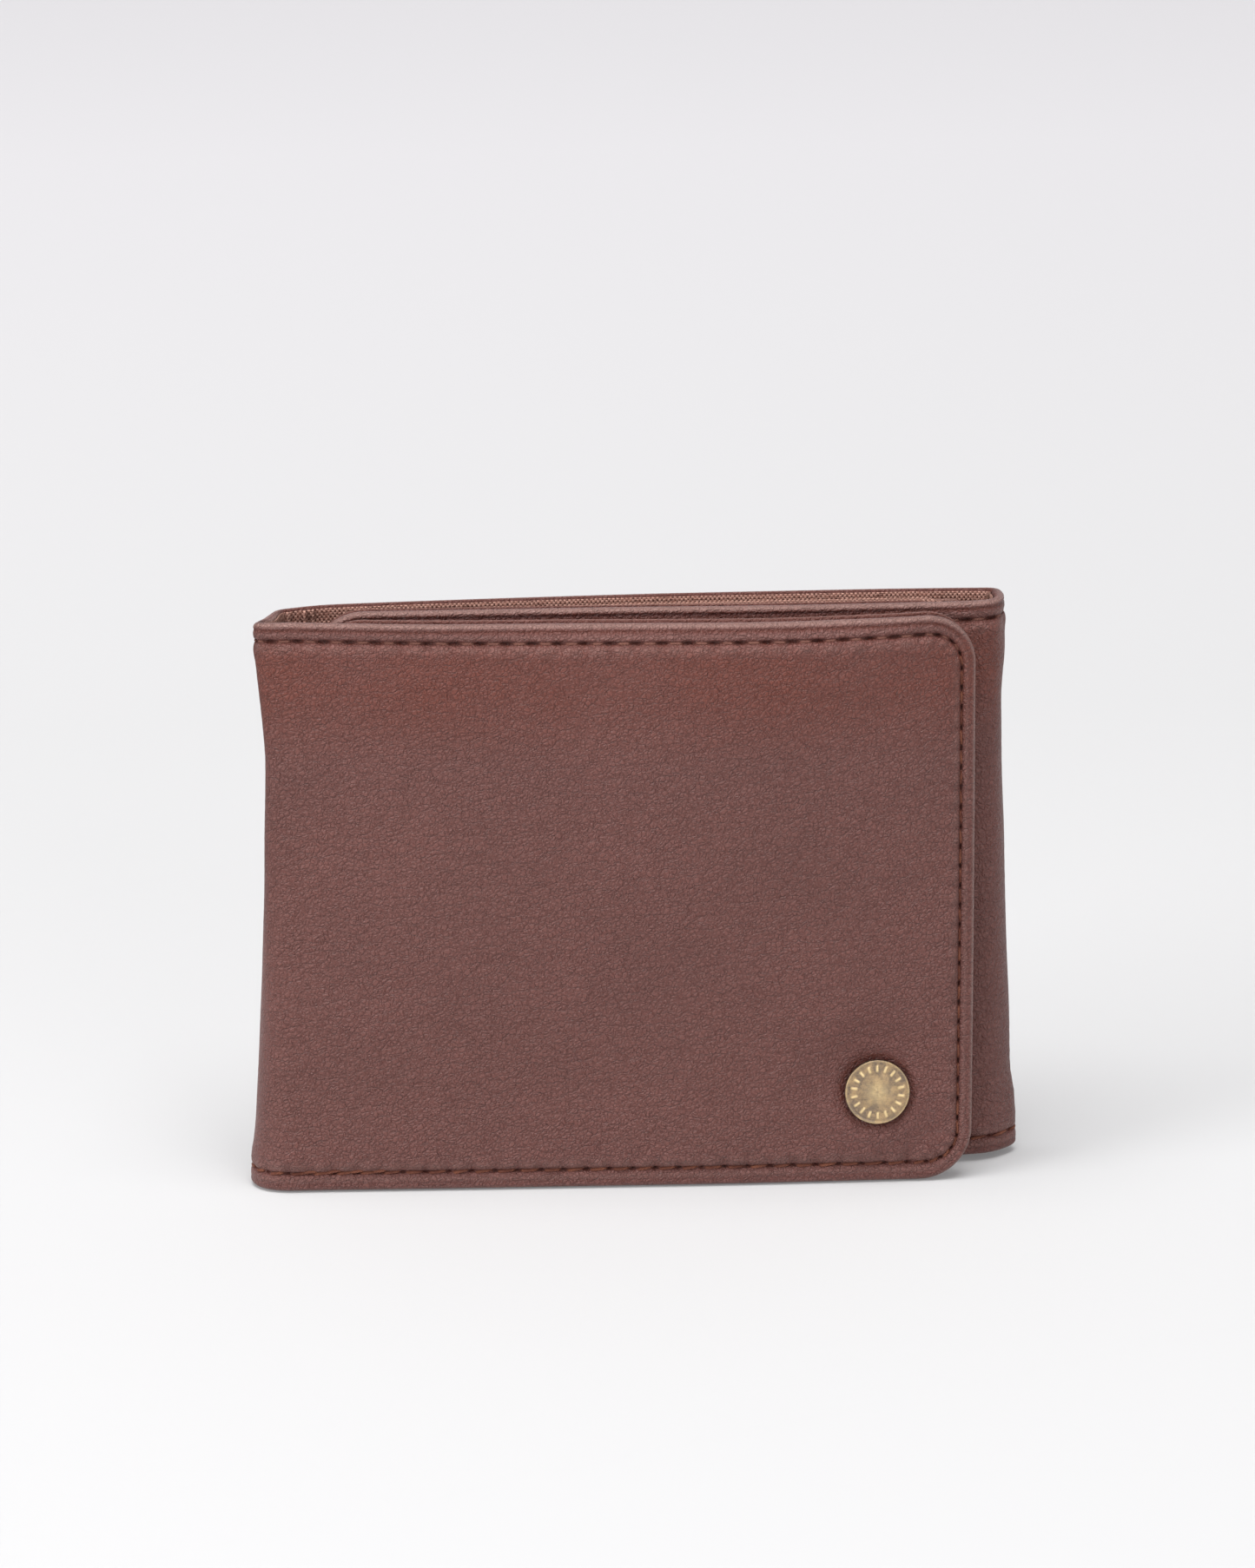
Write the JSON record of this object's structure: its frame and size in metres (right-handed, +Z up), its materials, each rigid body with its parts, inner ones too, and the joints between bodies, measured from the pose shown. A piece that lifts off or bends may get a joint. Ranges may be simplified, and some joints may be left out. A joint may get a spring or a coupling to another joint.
{
  "type": "trifold wallet",
  "caption": "Brown leather trifold wallet, standing closed, with stitched turned edges, lined bill compartment, card pockets, identity window and a round brass rivet on its front flap.",
  "frame": {"origin": "centre of the closed wallet's footprint, on the surface that its long edge stands on", "axes": "+X along the closed wallet, from the front flap's fold to the inner flap's fold; +Y through the layers, out of the flat back panel; +Z up"},
  "size_m": [0.116, 0.0198, 0.0884],
  "materials": {
    "outer_leather": "fine-grained brown coated leather, satin",
    "inner_leather": "lighter brown coated leather, satin",
    "lining": "woven melange cloth, matt",
    "stiffener": "thin semi-rigid sheet, matt",
    "thread": "bonded reddish-brown thread, low sheen",
    "antique_brass": "antiqued, brushed, darker in the recesses",
    "window_film": "clear flexible film"
  },
  "bodies": {
    "centre": {"centre_shell": "outer_leather", "centre_board": "stiffener", "centre_lining_outer": "lining", "centre_lining_inner": "lining", "centre_backing": "inner_leather", "centre_pocket_upper": "inner_leather", "centre_pocket_middle": "inner_leather", "centre_pocket_lower": "inner_leather", "centre_stitches": "thread", "left_fold": "outer_leather", "left_fold_lining": "lining", "right_fold": "outer_leather", "right_fold_lining": "lining"},
    "inner_flap": {"inner_shell": "outer_leather", "inner_board": "stiffener", "inner_lining": "lining", "inner_backing": "inner_leather", "inner_window_film": "window_film", "inner_window_frame": "inner_leather", "inner_stitches": "thread"},
    "front_flap": {"front_shell": "outer_leather", "front_board": "stiffener", "front_lining_outer": "lining", "front_lining_inner": "lining", "front_backing": "inner_leather", "front_pocket_upper": "inner_leather", "front_pocket_middle": "inner_leather", "front_pocket_lower": "inner_leather", "front_stitches": "thread", "rivet_cap": "antique_brass", "rivet_post": "antique_brass", "rivet_washer": "antique_brass"}
  },
  "joints": [
    {"name": "front_flap_fold", "type": "hinge", "parent": "centre", "child": "front_flap", "pos_m": [-0.0565, 0.0029, 0.0442], "axis": [0, 0, -1], "range_deg": [0, 180], "deforming": ["left_fold", "left_fold_lining"]},
    {"name": "inner_flap_fold", "type": "hinge", "parent": "centre", "child": "inner_flap", "pos_m": [0.057, 0.00545, 0.0442], "axis": [0, 0, 1], "range_deg": [0, 22.5], "deforming": ["right_fold", "right_fold_lining"]}
  ],
  "couplings": [
    {"joint": "inner_flap_fold", "follows": "front_flap_fold", "ratio": 0.125}
  ]
}
